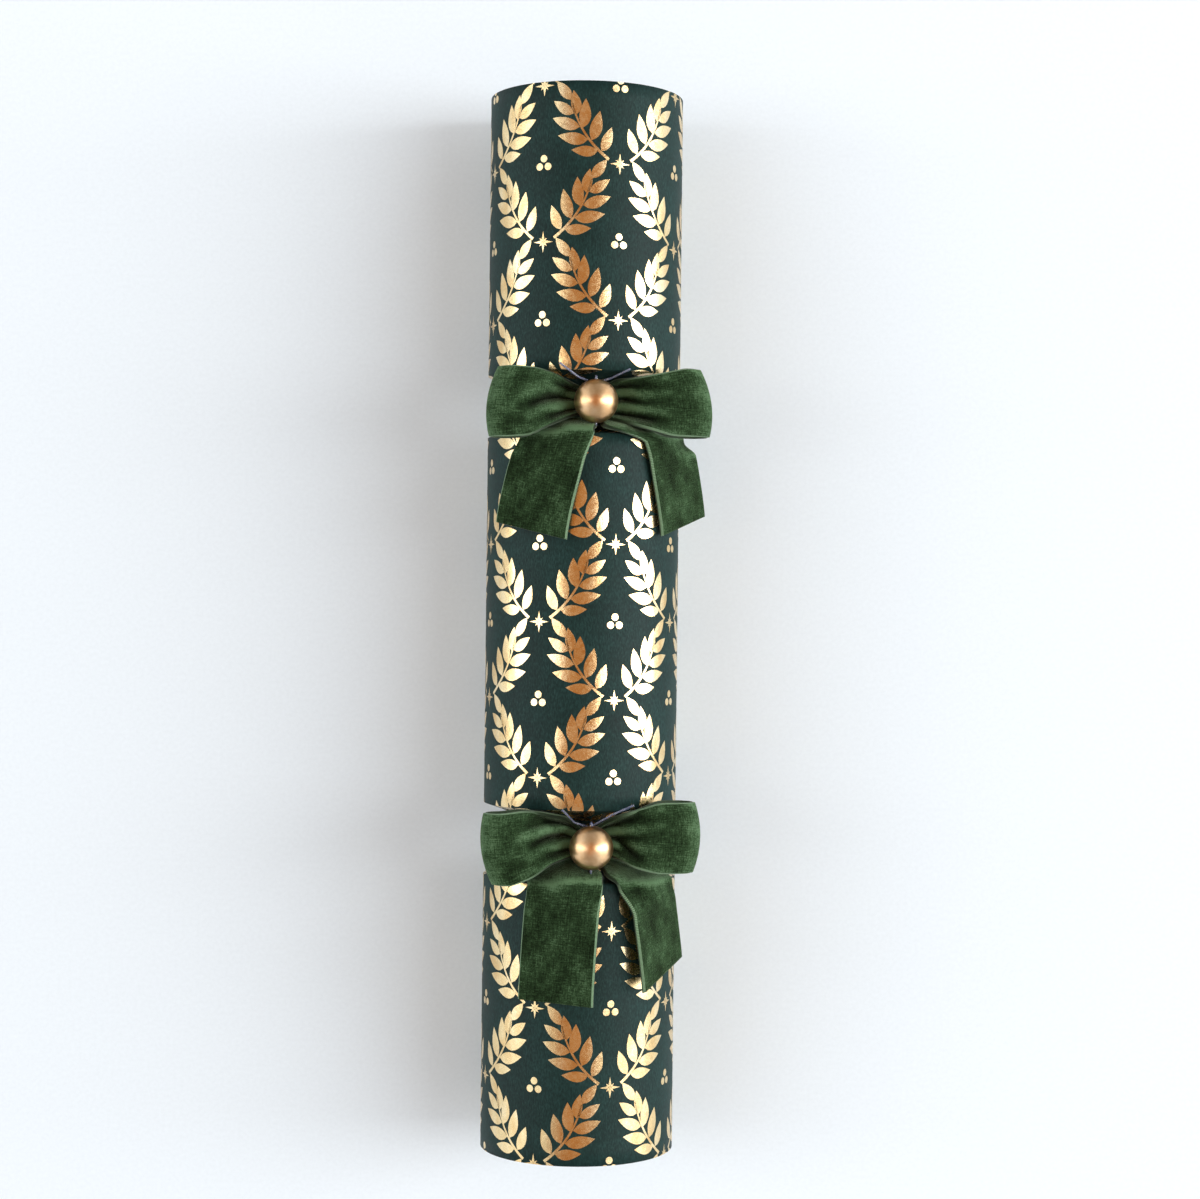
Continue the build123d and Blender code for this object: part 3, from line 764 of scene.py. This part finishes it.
bottom_stops = (barrel_stops(bottom_mouth_y, bottom_shoulder_y)
                + funnel_stops(bottom_shoulder_y, -1, lower_tear_y - tear_gap, lower_choke))
centre_stops = (funnel_stops(centre_low_y, 1, lower_tear_y, lower_choke)[::-1]
                + barrel_stops(centre_low_y, centre_high_y)
                + funnel_stops(centre_high_y, -1, upper_tear_y, upper_choke))
top_stops = (funnel_stops(top_shoulder_y, 1, upper_tear_y + tear_gap, upper_choke)[::-1]
             + barrel_stops(top_shoulder_y, top_mouth_y))
centre_start = paper_places(bottom_stops)[-1]
top_start = centre_start + paper_places(centre_stops)[-1]
wrap_piece("bottom_wrap", bottom_stops, "bottom_end", "bottom_end_wrap", 0.0)
wrap_piece("middle_wrap", centre_stops, "centre", "centre_wrap", centre_start)
wrap_piece("top_wrap", top_stops, "top_end", "top_end_wrap", top_start)


# Ribbons. A place across a ribbon runs from -1 to 1, and a rate is how fast a change runs along a
# loop or tail: at rate 2 it is over half way
selvedge_shares = (-1.0, -0.972, -0.962, -0.93)
pile_edge_share = 0.962
pile_rise_share = 0.4
ribbon_columns = 26
selvedge_thickness = 0.40
least_spacing = 0.2
# Painted fold shade: how many times it is smoothed, and how strongly it darkens valleys and lightens ridges
fold_shade_smoothings = 4
fold_shade_strength = 0.75


def across_places():
    """Places of a ribbon's columns, from -1 to 1 across it."""
    inner = np.linspace(selvedge_shares[-1], -selvedge_shares[-1], ribbon_columns)
    return np.concatenate([selvedge_shares[:-1], inner, [-s for s in selvedge_shares[:-1]][::-1]])


def bow_place(choke, u, v, w):
    """Place a bow's own point in the frame."""
    roll = radians(bow_roll)
    return (u * cos(roll) + w * sin(roll), choke.y + v, axis_height + w * cos(roll) - u * sin(roll))


def clear_radius(choke, v):
    """Radius at which the middle of a ribbon clears the pleats or the barrel."""
    share = (choke.length / 2 - abs(v)) / (choke.length / 2 - half_neck)
    return min(funnel_radius(share) + layer_gap + ribbon_thickness, drape_radius)


def pleat_wave(place):
    """Folds of the pinch across the ribbon, 1 at its edges."""
    return cos(pinch_pleats * pi * (place + 1) / 2)


def painted_fold_shade(padded, normals, closed):
    """Painted shade from the ribbon's bending: over 0.5 paints a ridge lighter, and under 0.5 paints a
    valley darker.
    """
    bending = np.zeros(padded.shape[:2])
    for axis in (0, 1):
        ahead, behind = np.roll(padded, -1, axis), np.roll(padded, 1, axis)
        spacing = np.linalg.norm(ahead - behind, axis=2) / 2
        middle = (ahead + behind) / 2 - padded
        bent = -2 * (middle * normals).sum(2) / np.maximum(spacing, least_spacing) ** 2
        if axis == 1 or not closed:
            edges = np.moveaxis(bent, axis, 0)
            edges[0], edges[-1] = edges[1], edges[-2]
        bending += bent
    for axis in (0, 1) * fold_shade_smoothings:
        margins = [(1, 1) if side == axis else (0, 0) for side in (0, 1)]
        edged = np.pad(bending, margins, "edge")
        count = edged.shape[axis]
        bending = (edged.take(range(2, count), axis) + edged.take(range(count - 2), axis) + 2 * bending) / 4
    return np.clip(0.5 + fold_shade_strength * bending, 0, 1)


def ribbon_piece(name, grid, closed, upper_row, shown, replaced):
    """Ribbon of pile, woven back and selvedges round a grid of its middle surface.

    Its pile is up at upper_row. shown is how far each row's selvedge has come out of the gathers.
    """
    grid = np.array(grid)
    places = across_places()
    rows, columns = grid.shape[:2]
    middles = grid[:, columns // 2]
    padded = np.concatenate([grid[-1:], grid, grid[:1]]) if closed else grid
    normals = grid_normals(padded)[1:-1] if closed else grid_normals(padded)
    if normals[upper_row, columns // 2, 2] < 0:
        normals = -normals
    # Painted shade of the folds, darker in valleys and lighter on ridges, goes into the first channel of
    # the map
    fold_shade_and_selvedge = painted_fold_shade(grid, normals, closed)
    edge = np.clip((1 - np.abs(places)) / (1 - pile_edge_share), 0, 1)
    raised = np.array([smooth(share - pile_rise_share) if share < 1 else 1.0 for share in edge])
    pile = -ribbon_thickness / 2 + selvedge_thickness + (ribbon_thickness - selvedge_thickness) * raised
    top = grid + normals * pile[None, :, None]
    under = grid - normals * ribbon_thickness / 2
    ring = np.concatenate([top, under[:, ::-1]], 1)
    around = ring.shape[1]
    along = np.concatenate([[0], np.cumsum(np.linalg.norm(np.diff(middles, axis=0), axis=1))])
    across = np.concatenate([places, places[::-1]]) * ribbon_width / 2
    flat = np.stack(np.meshgrid(across, along), 2).reshape(-1, 2)
    fold_shade_and_selvedge_map = np.stack([np.concatenate([fold_shade_and_selvedge, fold_shade_and_selvedge[:, ::-1]], 1).ravel(), np.repeat(shown, around)], 1)
    pile_kind, back_kind, selvedge_kind = range(3)
    kinds = [pile_kind if min(abs(a), abs(b)) < pile_edge_share else selvedge_kind
             for a, b in zip(places, places[1:])]
    kinds += [back_kind] * (around - len(kinds))
    faces = grid_faces(rows, around, closed_rows=closed, closed_columns=True)
    face_kinds = kinds * (rows if closed else rows - 1)
    if not closed:
        for row in (0, rows - 1):
            start = row * around
            for j in range(columns - 1):
                quad = (start + j, start + j + 1, start + around - 2 - j, start + around - 1 - j)
                faces.append(quad if row else quad[::-1])
                face_kinds.append(back_kind)
    piece = mesh_piece(name, ring.reshape(-1, 3), faces, [velvet, ribbon_back, selvedge], face_kinds,
                       {"ribbon": flat, "fold_shade_and_selvedge": fold_shade_and_selvedge_map})
    sample = upper_row * around + columns // 2
    if piece.data.polygons[sample].normal.dot(Vector(normals[upper_row, columns // 2])) < 0:
        piece.data.flip_normals()
    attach(piece, "centre")
    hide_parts(replaced)


# Loops. A loop is (reach, how much further out its end lies at its upper edge than in its middle,
# upper edges, lower edges, folds), with the edges along v at edge_shares of its way out. A fold of its
# front layer is (place across the ribbon at the pinch, place where it ends, share of the loop that it
# reaches, depth, width, side that drops: 1 upper, -1 lower, 0 a valley)
edge_shares = (0.0, 0.12, 0.25, 0.5, 0.75, 1.0)
upper_left_loop = (30.6, -1.2, (2.8, 4.0, 5.2, 7.7, 9.0, 9.4), (-2.8, -3.2, -4.0, -6.9, -10.3, -10.6),
                   ((0.45, -0.22, 0.95, 3.4, 0.24, 0), (-0.40, -0.80, 0.60, 1.6, 0.24, 0),
                    (0.80, 0.62, 0.55, 1.3, 0.22, 0)))
upper_right_loop = (33.4, -1.4, (2.8, 5.0, 6.6, 7.2, 8.4, 9.8), (-2.8, -4.2, -5.2, -7.4, -9.6, -9.6),
                    ((0.25, 0.10, 0.50, 2.4, 0.22, 0), (-0.55, -0.60, 0.80, 2.4, 0.28, 0),
                     (0.75, 0.70, 0.45, 1.3, 0.20, 0)))
lower_left_loop = (30.9, 1.3, (2.8, 5.8, 8.2, 9.5, 10.6, 9.8), (-2.8, -2.8, -3.0, -4.4, -8.2, -10.6),
                   ((0.62, 0.29, 0.90, 4.0, 0.13, 1), (0.30, -0.25, 0.80, 2.6, 0.24, 0)))
lower_right_loop = (31.3, 0.2, (2.8, 5.6, 8.0, 10.6, 12.8, 12.9), (-2.8, -2.4, -2.6, -5.6, -7.0, -7.2),
                    ((0.42, -0.85, 0.62, 3.2, 0.18, 0), (0.80, 0.35, 0.45, 2.0, 0.20, 0)))
edge_rounding_shares = (-0.06, -0.03, 0.0, 0.03, 0.06)
layer_steps = 34
bend_steps = 16
front_rate = 1.3
back_rate = 1.6
pleats_end_rate = 1.2
shoulder_lead = 2.5
shoulder_run = 3
upper_edge_run = 2
layer_room_share = 1.4
floor_blend = 0.8
selvedge_hidden_share = 0.25
selvedge_rate = 3
fold_fade_share = 0.55
step_rate = 8
valley_rate = 5
valley_start = 0.2


def edge_place(edges, share):
    """Place of a loop's edge at a share of its way out, with the corners of the list rounded."""
    return float(np.interp([share + step for step in edge_rounding_shares], edge_shares, edges).mean())


def fold_drop(folds, place, share):
    """How far the folds draw a place on a front layer down."""
    drop = 0.0
    for start, end, reach, depth, width, dropped_side in folds:
        line = start + (end - start) * min(share / reach, 1)
        fade = 1 - smooth((share / reach - fold_fade_share) / (1 - fold_fade_share))
        if dropped_side:
            form = smooth(dropped_side * (place - line) / width + 0.5) * smooth(share * step_rate)
        else:
            form = exp(-((place - line) / width) ** 2) * smooth(share * valley_rate + valley_start)
        drop += depth * fade * form
    return drop


def soft_max(a, b):
    """The larger of two heights, with a rounded change from one to the other."""
    return (a + b + sqrt((a - b) ** 2 + floor_blend ** 2)) / 2 - floor_blend / 4


def loop_path(bend_start, low_out):
    """A loop's way as (place out, height, depth of its pleats): front layer, bend, under layer."""
    high_out = low_out + 2 * loop_bend_radius
    shares = [step / layer_steps for step in range(layer_steps + 1)]
    turns = [pi * step / bend_steps for step in range(1, bend_steps)]
    front = [(bend_start * share,
              over_layer_height + (high_out - over_layer_height) * smooth(share * front_rate),
              top_pleat_depth) for share in shares]
    bend = [(bend_start + loop_bend_radius * sin(turn),
             low_out + loop_bend_radius + loop_bend_radius * cos(turn), 0) for turn in turns]
    under = [(bend_start * share, under_height(low_out, share), pinch_pleat_depth)
             for share in reversed(shares)]
    return front + bend + under


def under_height(low_out, share):
    """Height of a loop's under layer at a share of its way out."""
    return under_layer_height + (low_out - under_layer_height) * smooth(share * back_rate)


def loop_floor(choke, v, out, share, layers_below):
    """Lowest height that keeps a loop clear of the wrap and of the layers of ribbon below it."""
    over_shoulder = smooth((abs(v) - choke.length / 2 + shoulder_lead) / shoulder_run)
    flat = clear_radius(choke, v)
    below = flat + (drape_radius - flat) * over_shoulder
    below += layers_below * (ribbon_thickness + layer_gap) + loop_relief * share
    if v > 0:
        below -= (ribbon_thickness + layer_gap) * smooth(v / upper_edge_run)
    return sqrt(max(below ** 2 - out ** 2, 0))


def loop_rows(choke, side, loop):
    """Rows of one loop, from the pinch's upper layer round the bend to its under layer."""
    reach, slant, upper_edges, lower_edges, folds = loop
    bend_start = reach - loop_bend_radius - ribbon_thickness / 2
    low_out = sqrt(max(drape_radius ** 2 - (2 * bend_start / 3) ** 2, 0)) - ribbon_thickness
    rows = []
    for index, (u, w, depth) in enumerate(loop_path(bend_start, low_out)):
        share = min(u / bend_start, 1)
        high, low = edge_place(upper_edges, share), edge_place(lower_edges, share)
        pleat = depth / 2 * (1 - smooth(share * pleats_end_rate))
        layers_below = 1 if index >= layer_steps + bend_steps else 2
        room = max(w - under_height(low_out, share) - pleat - layer_room_share * ribbon_thickness, 0)
        row = []
        for place in across_places():
            v = low + (high - low) * (place + 1) / 2
            out = u + (slant * place - loop_corner_recess * place ** 2) * share
            height = w + pleat * pleat_wave(place) + loop_lean * sin(pi * share) * max(-place, 0)
            if index <= layer_steps:
                height -= min(fold_drop(folds, place, share), room)
            height = soft_max(height, loop_floor(choke, v, out, share, layers_below))
            row.append(bow_place(choke, side * out, v, height))
        rows.append(row)
    return rows


def bow_loops(name, choke, left, right, replaced):
    """One band of ribbon that makes both loops of a bow."""
    rows = loop_rows(choke, 1, right) + loop_rows(choke, -1, left)[-2:0:-1]
    middles = [abs(row[len(row) // 2][0]) for row in rows]
    shown = [smooth((middle / max(middles) - selvedge_hidden_share) * selvedge_rate) for middle in middles]
    ribbon_piece(name, rows, True, 0, shown, replaced)


# Tails. A tail is (place of its middle at the shoulder, drift to its end, reach along v, stand-off
# of its end, place of its inner edge before the shoulder, splay and place round the barrel in
# degrees), sideways places outward
upper_left_tail = (11.6, 7.1, 36.6, 1.6, 1.0, 13.0, 27.6)
upper_right_tail = (25.5, 6.8, 34.3, 0.8, 1.6, 16.8, 45.2)
lower_left_tail = (7.8, 2.1, 43.5, 0.6, 0.0, 3.2, 23.1)
lower_right_tail = (18.7, 5.3, 36.7, 1.5, 4.0, 21.0, 49.8)
elbow_steps = 10
rise_steps = 20
drape_steps = 40
drift_power = 1.3
sideways_rate = 1.25
width_rate = 1.4
splay_rate = 2
flat_rate = 4.5
flat_start_share = 0.03
inner_hold = 6.5
inner_run = 4.5

# The hood is where a tail rides up over the shoulder, and its gathers run out below it
hood_rise = 0.7
hood_start = 2.2
hood_end = 1.0
hood_run = 9
hood_width = 7
hood_side_run = 8
tail_gathers = 4.6
gather_phase = 1.1
gather_side_phase = 0.4
gather_drift_phase = 2.0
gather_run = 5
gather_relief = 0.1
knot_rows = 6


def tail_path(leave, drift, reach, splay, elbow, shoulder):
    """A tail's rows as (middle sideways, middle along v, half width, turn, share of its drape)."""
    pinch_half, ribbon_half = pinch_width / 2, ribbon_width / 2
    path = []
    for step in range(elbow_steps + 1):
        turn = pi / 2 * (1 - step / elbow_steps)
        path.append((elbow * cos(turn), elbow * sin(turn) - elbow, pinch_half, turn, 0))
    for step in range(1, rise_steps + 1):
        share = step / rise_steps
        sideways = elbow + (leave - elbow) * smooth(share * sideways_rate)
        half = pinch_half + (ribbon_half - pinch_half) * smooth(share * width_rate)
        path.append((sideways, -elbow - (shoulder - elbow) * share, half, 0, 0))
    for step in range(1, drape_steps + 1):
        share = step / drape_steps
        sideways = leave + drift * (1 - (1 - share) ** drift_power)
        path.append((sideways, -shoulder - (reach - shoulder) * share, ribbon_half,
                     splay * smooth(share * splay_rate), share))
    return path


def hooded(radius, v, across, shoulder):
    """Radius raised to the hood near the cracker's crown."""
    rise = smooth((-v - hood_start) / (shoulder - hood_start - hood_end))
    hood = tails_height + (drape_radius + hood_rise - tails_height) * rise
    hood -= hood_rise * smooth((-v - shoulder) / hood_run)
    return radius + max(hood - radius, 0) * (1 - smooth((across - hood_width) / hood_side_run))


def tail_rows(choke, side, tail):
    """Rows of one tail: it hugs the pleats up to the shoulder, and flattens toward its cut end."""
    leave, drift, reach, stand_off, inner_start, splay_deg, facing_deg = tail
    facing = radians(facing_deg)
    shoulder = choke.length / 2
    elbow = pinch_width / 2 + ribbon_thickness / 2
    path = tail_path(leave, drift, reach, radians(splay_deg), elbow, shoulder)
    rows = []
    for sideways, v_middle, half, turn, share in path:
        inner = sideways - half
        held = (1 - smooth((-v_middle - inner_hold) / inner_run)) * smooth(-v_middle - elbow)
        inner += min(inner_start - inner, 0) * held
        over_shoulder = smooth(-v_middle / shoulder)
        gathered = 1 - smooth((-v_middle - elbow) / (shoulder + gather_run))
        flatness = smooth((share - flat_start_share) * flat_rate)
        phase = gather_phase + gather_side_phase * side + gather_drift_phase * share
        row = []
        for column in across_places():
            place = column * (half if column > 0 else sideways - inner)
            v = v_middle + place * sin(turn)
            across = sideways + place * cos(turn)
            radius = max(clear_radius(choke, abs(v) + layer_gap), tails_height) + stand_off * share ** 2
            radius = hooded(radius, v, across, shoulder)
            wave = sin(tail_gathers * column + phase)
            fold = pleat_wave(column) * (1 - over_shoulder) + (wave + 1) / 2 * over_shoulder
            radius += (pinch_pleat_depth / 2 - gather_relief) * gathered * fold
            round_u, round_w = radius * sin(across / radius), radius * cos(across / radius)
            beside = across - radius * facing
            flat_u = radius * sin(facing) + beside * cos(facing)
            flat_w = radius * cos(facing) - beside * sin(facing)
            u = round_u + (flat_u - round_u) * flatness
            row.append(bow_place(choke, side * u, v, round_w + (flat_w - round_w) * flatness))
        rows.append(row)
    return rows


def bow_tails(name, choke, left, right, replaced):
    """One strip of ribbon that runs from one tail through the pinch to the other."""
    left_rows = tail_rows(choke, -1, left)
    rows = left_rows[::-1] + tail_rows(choke, 1, right)[1:]
    from_pinch = [abs(row - len(left_rows) + 1) for row in range(len(rows))]
    shown = [smooth((distance - elbow_steps - rise_steps) / knot_rows + 0.5) for distance in from_pinch]
    ribbon_piece(name, rows, False, len(left_rows) - 1, shown, replaced)


bow_tails("upper_tails", upper_choke, upper_left_tail, upper_right_tail, "upper_bow_tails")
bow_tails("lower_tails", lower_choke, lower_left_tail, lower_right_tail, "lower_bow_tails")
bow_loops("upper_loops", upper_choke, upper_left_loop, upper_right_loop, "upper_bow_loops")
bow_loops("lower_loops", lower_choke, lower_left_loop, lower_right_loop, "lower_bow_loops")


# Ties: a cord of three metallic plies, two turns round each neck
ply_count = 3
ply_twist_pitch = 2.6
ply_share = 0.48
cord_turn_samples = 220
ply_sides = 8
tie_inset = tie_clearance + tie_diameter / 2


def tie_piece(name, first_y, climb, replaced):
    """Twisted cord along the coil."""
    ply_radius = tie_diameter / 2 * ply_share
    ply_offset = tie_diameter / 2 - ply_radius
    count = tie_turns * cord_turn_samples + 1
    verts, faces = [], []
    for ply in range(ply_count):
        centres = []
        for i in range(count):
            turn = 2 * pi * tie_turns * i / (count - 1)
            arc = turn * tie_radius
            phase = 2 * pi * (arc / ply_twist_pitch + ply / ply_count)
            radius = tie_radius + ply_offset * cos(phase)
            y = first_y + climb * tie_turns * i / (count - 1) + ply_offset * sin(phase)
            centres.append((radius * cos(turn), y, axis_height + radius * sin(turn)))
        centres = np.array(centres)
        tangents = np.gradient(centres, axis=0)
        tangents /= np.linalg.norm(tangents, axis=1, keepdims=True)
        side = np.cross(tangents, np.array([0.0, 1.0, 0.0]))
        side /= np.linalg.norm(side, axis=1, keepdims=True)
        other = np.cross(tangents, side)
        start = len(verts)
        for centre, a, b in zip(centres, side, other):
            for k in range(ply_sides):
                turn = 2 * pi * k / ply_sides
                verts.append(centre + (a * cos(turn) + b * sin(turn)) * ply_radius)
        sides = grid_faces(count, ply_sides, closed_columns=True)
        faces += [tuple(start + corner for corner in face) for face in sides]
        faces.append(tuple(start + k for k in range(ply_sides))[::-1])
        faces.append(tuple(start + (count - 1) * ply_sides + k for k in range(ply_sides)))
    piece = mesh_piece(name, verts, faces, [gold_yarn])
    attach(piece, "centre")
    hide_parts(replaced)


tie_piece("upper_tie_cord", upper_choke_y - neck_length / 2 + tie_inset, tie_pitch, "upper_tie")
tie_piece("lower_tie_cord", lower_choke_y + neck_length / 2 - tie_inset, -tie_pitch, "lower_tie")


# Finishes of the pieces that keep their CAD shape
finishes = (
    (("upper_bead", "lower_bead"), bead_material()),
    (("upper_thread", "lower_thread"), clear_nylon),
    (("centre_liner", "top_end_liner", "bottom_end_liner"), board_material()),
    (("snap_strip_top",), paper_material("snap_card", (201, 190, 166))),
    (("snap_strip_bottom",), paper_material("snap_card_lower", (201, 190, 166))),
    (("snap_sleeve",), paper_material("snap_paper", (222, 214, 198))),
    (("gift_whistle",), turned_brass),
    (("paper_hat",), paper_material("tissue", (176, 40, 48))),
    (("joke_slip",), paper_material("joke_paper", (240, 238, 230))),
)
for nodes, material in finishes:
    for node in nodes:
        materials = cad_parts[node].data.materials
        materials.clear()
        materials.append(material)

# Floor: plain, and wide enough for every view
floor_half = 3000.0
floor_corners = [(x * floor_half, y * floor_half, 0) for x, y in ((-1, -1), (1, -1), (1, 1), (-1, 1))]
mesh_piece("floor", floor_corners, [(0, 1, 2, 3)], [pale_ground])

# Light: one long low lamp on each side, in metres, in a pale room whose walls are brighter to the
# left and right and whose ceiling is dim and warm, as (red, green, blue, alpha) levels
lamp_x = 1.90
lamp_y = 0.10
lamp_z = 0.34
lamp_aim = (0.0, 0.0, 0.02)
lamp_size = (0.60, 6.00)
left_wall = (1.10, 1.14, 1.17, 1.0)
plain_wall = (0.44, 0.45, 0.46, 1.0)
right_wall = (1.48, 1.52, 1.55, 1.0)
walls = ((0.10, left_wall), (0.30, plain_wall), (0.70, plain_wall), (0.90, right_wall))
ceiling = (0.50, 0.23, 0.08, 1.0)
ceiling_start = 0.80
ceiling_full = 0.94


def area_light(name, side, power, colour):
    """Soft panel on the right at side 1 or on the left at -1, facing the cracker."""
    data = bpy.data.lights.new(name, "AREA")
    data.shape = "RECTANGLE"
    data.size, data.size_y = lamp_size
    data.energy = power
    data.color = colour
    lamp = bpy.data.objects.new(name, data)
    lamp.location = Vector((side * lamp_x, lamp_y, lamp_z))
    lamp.rotation_euler = (Vector(lamp_aim) - lamp.location).to_track_quat("-Z", "Y").to_euler()
    bpy.context.scene.collection.objects.link(lamp)


def room_light():
    """World that lights as the room does."""
    world = bpy.data.worlds.new("studio")
    bpy.context.scene.world = world
    world.use_nodes = True
    tree = world.node_tree
    direction = add_node(tree, "ShaderNodeTexCoord").outputs["Generated"]
    split = add_node(tree, "ShaderNodeSeparateXYZ", [(0, direction)])
    across = add_node(tree, "ShaderNodeMapRange", [("Value", split.outputs["X"])], From_Min=-1.0)
    height = add_node(tree, "ShaderNodeMapRange", [("Value", split.outputs["Z"])],
                      From_Min=ceiling_start, From_Max=ceiling_full)
    sides = add_ramp(tree, across.outputs[0], walls)
    room = add_node(tree, "ShaderNodeMix", [("Factor", height.outputs[0]), (6, sides)], data_type="RGBA")
    room.inputs[7].default_value = ceiling
    tree.links.new(room.outputs[2], tree.nodes["Background"].inputs["Color"])


room_light()
area_light("window_right", 1, 88.0, (0.985, 0.99, 1.0))
area_light("wall_left", -1, 34.0, (0.98, 0.99, 1.0))

# Camera, as the photograph was taken: straight down from over the crown
camera_data = bpy.data.cameras.new("photo_camera")
camera_data.sensor_width = sensor_width
camera_data.lens = sensor_width * focal_px / photo_width_px
camera = bpy.data.objects.new("photo_camera", camera_data)
camera.location = Vector((camera_x, camera_y, axis_height + camera_over_axis)) * METRES
camera.rotation_euler = Euler((0.0, 0.0, radians(camera_turn_deg)))
bpy.context.scene.collection.objects.link(camera)
bpy.context.scene.camera = camera
bpy.context.scene.view_settings.view_transform = "Standard"
